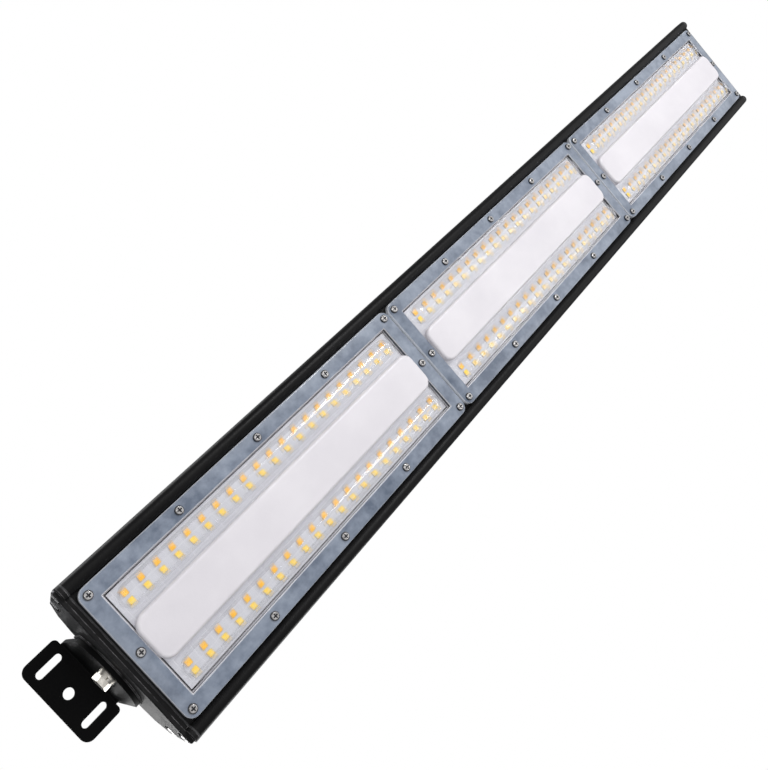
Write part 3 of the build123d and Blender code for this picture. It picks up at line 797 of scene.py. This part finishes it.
# %% Frosted panel
panel_frosted, tree, shader = new_finish("Lens frosted panel", Coat_Weight=0.15, Coat_Roughness=0.3)
grain = use_group(tree, coat_grain, Fine_scale=700.0, Cloud_scale=18.0)
edges = use_group(tree, edge_wear_and_highlight, Radius=3.5 * MM, Breakup=40.0)
frost = blend_colours(tree, grain["Cloud"], (0.64, 0.618, 0.65, 1), (0.725, 0.702, 0.73, 1))
# Painted highlight: the panel's broad rounded edge is painted paler than its middle.
tree.links.new(blend_colours(tree, edges["Mask"], frost, (0.90, 0.88, 0.90, 1)), shader.inputs["Base Color"])
tree.links.new(ramp_between(tree, grain["Cloud"], 0, 1, 0.38, 0.5), shader.inputs["Roughness"])
add_bump(tree, shader, grain["Pebble"], 0.04 * MM)
frosted_air = add(tree, "BsdfTransparent", Color=(0.9, 0.9, 0.92, 1))
ray = add(tree, "LightPath")
lit_through = add(tree, "MixShader")
tree.links.new(math_node(tree, "MULTIPLY", ray.outputs["Is Shadow Ray"], 0.7), lit_through.inputs[0])
tree.links.new(shader.outputs[0], lit_through.inputs[1])
tree.links.new(frosted_air.outputs[0], lit_through.inputs[2])
tree.links.new(lit_through.outputs[0], tree.nodes["Material Output"].inputs["Surface"])
print("finish:", panel_frosted.name)

# %% [markdown]
# Real glass would keep the lamps' light off the board, because a shadow ray stops at any surface.
# The Light Path node tells shadow and diffuse rays apart from the rays of the eye, so for those the
# clear plastic is simply open, and the board under it stays as bright as in life. The eye's own rays
# pass straight through for the greater share too, because a thin wall bends them far less than the
# solid block that one skin of mesh stands for.

# %% Clear plastic
clear_plastic, tree, shader = new_finish(
    "Lens clear", Base_Color=(0.97, 0.975, 0.985, 1), Roughness=0.03, IOR=1.49, Transmission_Weight=1.0
)
open_air = add(tree, "BsdfTransparent", Color=(0.965, 0.965, 0.975, 1))
ray = add(tree, "LightPath")
lets_through = math_node(tree, "MAXIMUM", ray.outputs["Is Shadow Ray"], ray.outputs["Is Diffuse Ray"])
lets_through = math_node(tree, "MAXIMUM", lets_through, 0.7)
either = add(tree, "MixShader")
tree.links.new(lets_through, either.inputs[0])
tree.links.new(shader.outputs[0], either.inputs[1])
tree.links.new(open_air.outputs[0], either.inputs[2])
tree.links.new(either.outputs[0], tree.nodes["Material Output"].inputs["Surface"])
wander = use_group(tree, coat_grain, Fine_scale=300.0, Cloud_scale=60.0)
add_bump(tree, shader, wander["Cloud"], 0.04 * MM)
print("finish:", clear_plastic.name)


# %% Outside of the lens
def fill_level(mesh, rings, material):
    """Flat face that fills the first ring and leaves the others open."""
    edges = []
    for ring in rings:
        for here in range(len(ring)):
            pair = (ring[here], ring[(here + 1) % len(ring)])
            edges.append(mesh.edges.get(pair) or mesh.edges.new(pair))
    made = bmesh.ops.triangle_fill(mesh, edges=edges, use_beauty=True)
    for face in made["geom"]:
        if isinstance(face, bmesh.types.BMFace):
            face.material_index = material
            face.smooth = True


def add_border(mesh):
    """Side, rounded edge, face and window step. Gives the ring at the foot and the window's lip."""
    size = (lens_length / MM, lens_width / MM)
    bevelled = (WINDOW[0] + 2 * WINDOW_BEVEL, WINDOW[1] + 2 * WINDOW_BEVEL)
    rings = [panel_ring(*size, CORNER, foot_z)]
    rings += rounded_rings(size, CORNER, EDGE_ROUND, face_z, EDGE_STEPS)
    rings.append(panel_ring(*bevelled, WINDOW_CORNER + WINDOW_BEVEL, face_z))
    rings.append(panel_ring(*WINDOW, WINDOW_CORNER, face_z + WINDOW_BEVEL))
    rings.append(panel_ring(*WINDOW, WINDOW_CORNER, window_z))
    made = climb(mesh, rings, 0)
    lip = ring_of(mesh, panel_ring(WINDOW[0] - 2 * LIP, WINDOW[1] - 2 * LIP, WINDOW_CORNER, window_z))
    skin_between(mesh, made[-1], lip, 2)
    return made[0], lip


def add_panel(mesh):
    """Raised frosted panel with a rounded edge. Gives the ring at its foot."""
    rings = [panel_ring(*PANEL, PANEL_CORNER, window_z)]
    rings += rounded_rings(PANEL, PANEL_CORNER, PANEL_EDGE, window_z - PANEL_RISE, PANEL_STEPS)
    made = climb(mesh, rings, 2)
    fill_level(mesh, [made[-1]], 2)
    return made[0]


def add_domes(mesh, half, rise, base_z):
    """One skin of the two domes. Gives the rings at their feet."""
    feet = []
    for side in (-1, 1):
        made = climb(mesh, dome_rings(side * DOME_Y, half, rise, base_z), 1)
        feet.append(made[0])
        fill_level(mesh, [made[-1]], 1)
    return feet


# %% Inside of the lens
def add_pocket(mesh, foot):
    """Seat, pocket wall and the ledge in front of the board. Gives the ring where the ledge ends."""
    wide = (WINDOW[0] - 2 * POCKET_GAP, WINDOW[1] - 2 * POCKET_GAP)
    narrow = (wide[0] - 2 * LEDGE, wide[1] - 2 * LEDGE)
    seat = ring_of(mesh, panel_ring(*wide, WINDOW_CORNER, foot_z))
    skin_between(mesh, foot, seat, 0)
    ledge_out = ring_of(mesh, panel_ring(*wide, WINDOW_CORNER, ledge_z))
    ledge_in = ring_of(mesh, panel_ring(*narrow, WINDOW_CORNER, ledge_z))
    ledge_end = ring_of(mesh, panel_ring(*narrow, WINDOW_CORNER, pocket_z))
    for first, second in ((seat, ledge_out), (ledge_out, ledge_in), (ledge_in, ledge_end)):
        skin_between(mesh, first, second, 2)
    return ledge_end


def add_panel_hollow(mesh):
    """Hollow behind the frosted panel. Gives the ring at its foot."""
    size = (PANEL[0] - 2 * PANEL_WALL, PANEL[1] - 2 * PANEL_WALL)
    corner = PANEL_CORNER - PANEL_WALL
    top_z = window_z - PANEL_RISE + PANEL_WALL
    foot, top = climb(mesh, [panel_ring(*size, corner, pocket_z), panel_ring(*size, corner, top_z)], 2)
    fill_level(mesh, [top], 2)
    return foot


# %% The three lenses
def build_lens(number):
    """One moulding: the outer skin, the inner skin and the foot between them."""
    mesh = bmesh.new()
    foot, window_lip = add_border(mesh)
    panel_foot = add_panel(mesh)
    outer_feet = add_domes(mesh, DOME_HALF, DOME_RISE, window_z)
    fill_level(mesh, [window_lip, panel_foot] + outer_feet, 1)
    ledge_end = add_pocket(mesh, foot)
    hollow_foot = add_panel_hollow(mesh)
    inner_feet = add_domes(mesh, DOME_HALF - DOME_WALL, DOME_RISE + SKIN - DOME_WALL, pocket_z)
    fill_level(mesh, [ledge_end, hollow_foot] + inner_feet, 1)

    bmesh.ops.recalc_face_normals(mesh, faces=mesh.faces)
    mesh.transform(Matrix.Translation((module_centre(number), 0, 0)) @ Matrix.Scale(MM, 4))
    open_edges = sum(1 for edge in mesh.edges if len(edge.link_faces) != 2)
    finishes = (border_satin, clear_plastic, panel_frosted)
    piece = new_piece(mesh, f"lens_moulding_{number}", finishes, LENS_SHARP_ANGLE)
    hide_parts(f"lens_{number}")
    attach(piece, "body")
    return piece, open_edges


for k in MODULES:
    made, open_edges = build_lens(k)
    print("lens", k, "faces", len(made.data.polygons), "edges not shared by two faces:", open_edges)

# %% [markdown]
# ## Camera
#
# The photograph looks up at the light from below its near end. The camera stands where the
# picture's perspective puts it, and its three axes are written out as the columns of a matrix.

# %% Camera
camera_data = bpy.data.cameras.new("camera")
camera_data.lens = 37.61
camera_data.sensor_width = 36.0
camera_data.sensor_fit = "AUTO"
camera_data.shift_x = 0.0334
camera_data.shift_y = -0.0378
camera = bpy.data.objects.new("camera", camera_data)
bpy.context.collection.objects.link(camera)
right = Vector((0.6109, 0.6551, -0.4445))
up = Vector((0.5801, -0.7525, -0.3117))
back = Vector((-0.5387, -0.0674, -0.8398))
turn = Matrix((right, up, back)).transposed().to_4x4()
camera.matrix_world = Matrix.Translation((-0.5006, -0.0756, -0.5807)) @ turn
bpy.context.scene.camera = camera
print("camera at", [round(c, 3) for c in camera.location])

# %% [markdown]
# ## Studio
#
# A black object needs soft, large lights placed so that only narrow strips of it mirror them. One
# smaller lamp stands low beside the light and draws a bright line along the clear domes.
# The floor lies well below, as it would in a hall, and the world is pale to the eye but dimmer as
# a light, so that blacks stay black against a white background.

# %% World
world = bpy.data.worlds.new("studio")
bpy.context.scene.world = world
world.use_nodes = True
tree = world.node_tree
dim = tree.nodes["Background"]
dim.inputs["Color"].default_value = (0.90, 0.90, 0.92, 1)
dim.inputs["Strength"].default_value = 0.45
mirrored = add(tree, "Background", Color=(0.92, 0.94, 0.97, 1), Strength=0.3)
seen = add(tree, "Background", Color=(1, 1, 1, 1), Strength=1.0)
ray = add(tree, "LightPath")
in_metal = add(tree, "MixShader")
tree.links.new(ray.outputs["Is Glossy Ray"], in_metal.inputs[0])
tree.links.new(dim.outputs[0], in_metal.inputs[1])
tree.links.new(mirrored.outputs[0], in_metal.inputs[2])
to_the_eye = add(tree, "MixShader")
tree.links.new(ray.outputs["Is Camera Ray"], to_the_eye.inputs[0])
tree.links.new(in_metal.outputs[0], to_the_eye.inputs[1])
tree.links.new(seen.outputs[0], to_the_eye.inputs[2])
tree.links.new(to_the_eye.outputs[0], tree.nodes["World Output"].inputs["Surface"])
print("world:", world.name)

# %% Floor
FLOOR_DROP = 2.2
floor_mesh = bmesh.new()
bmesh.ops.create_grid(floor_mesh, x_segments=8, y_segments=8, size=6.0)
floor_data = bpy.data.meshes.new("floor")
floor_mesh.to_mesh(floor_data)
floor_mesh.free()
floor = bpy.data.objects.new("floor", floor_data)
bpy.context.collection.objects.link(floor)
floor.location = (0, 0, -FLOOR_DROP)
floor_pale, tree, shader = new_finish("Floor", Base_Color=(0.8, 0.8, 0.8, 1), Roughness=0.7)
grain = use_group(tree, coat_grain, Fine_scale=60.0, Cloud_scale=0.8)
cloudy = blend_colours(tree, grain["Cloud"], (0.78, 0.78, 0.79, 1), (0.82, 0.82, 0.82, 1))
tree.links.new(cloudy, shader.inputs["Base Color"])
floor_data.materials.append(floor_pale)
print("floor below the ceiling plane:", FLOOR_DROP, "m")


# %% Lights
NEAR_HALF = (-0.1, 0, -0.08)
FAR_HALF = (0.2, 0, -0.08)


def soft_light(name, place, towards, size, power):
    """A square area light that the camera does not see."""
    data = bpy.data.lights.new(name, "AREA")
    data.shape = "SQUARE"
    data.size = size
    data.energy = power
    made = bpy.data.objects.new(name, data)
    bpy.context.collection.objects.link(made)
    made.location = place
    made.rotation_euler = (Vector(towards) - Vector(place)).to_track_quat("-Z", "Y").to_euler()
    made.visible_camera = False
    return made


lights = [
    soft_light("key", (-1.3, -1.1, -1.5), NEAR_HALF, size=1.0, power=8),
    soft_light("far fill", (1.3, 1.3, -1.3), FAR_HALF, size=1.2, power=5),
    soft_light("far card", (1.55, 0.15, -1.15), FAR_HALF, size=1.8, power=7),
    soft_light("under the near end", (-0.55, 0.34, -1.5), (-0.48, 0, -0.07), size=0.4, power=0.45),
    soft_light("over the near cap", (-0.65, 0.55, 1.8), (-0.44, 0.04, -0.07), size=0.7, power=7),
    soft_light("along the domes", (0.5, -0.5, -1.3), (-0.1, 0, -0.1), size=0.38, power=10),
]
for side in (-1, 1):
    high_light = soft_light(f"high at side {side}", (0, side * 2.4, 1.5), (0, 0, -0.04), size=2.0, power=45)
    lights.append(high_light)
bpy.context.scene.view_settings.view_transform = "Standard"
print("lights:", len(lights))
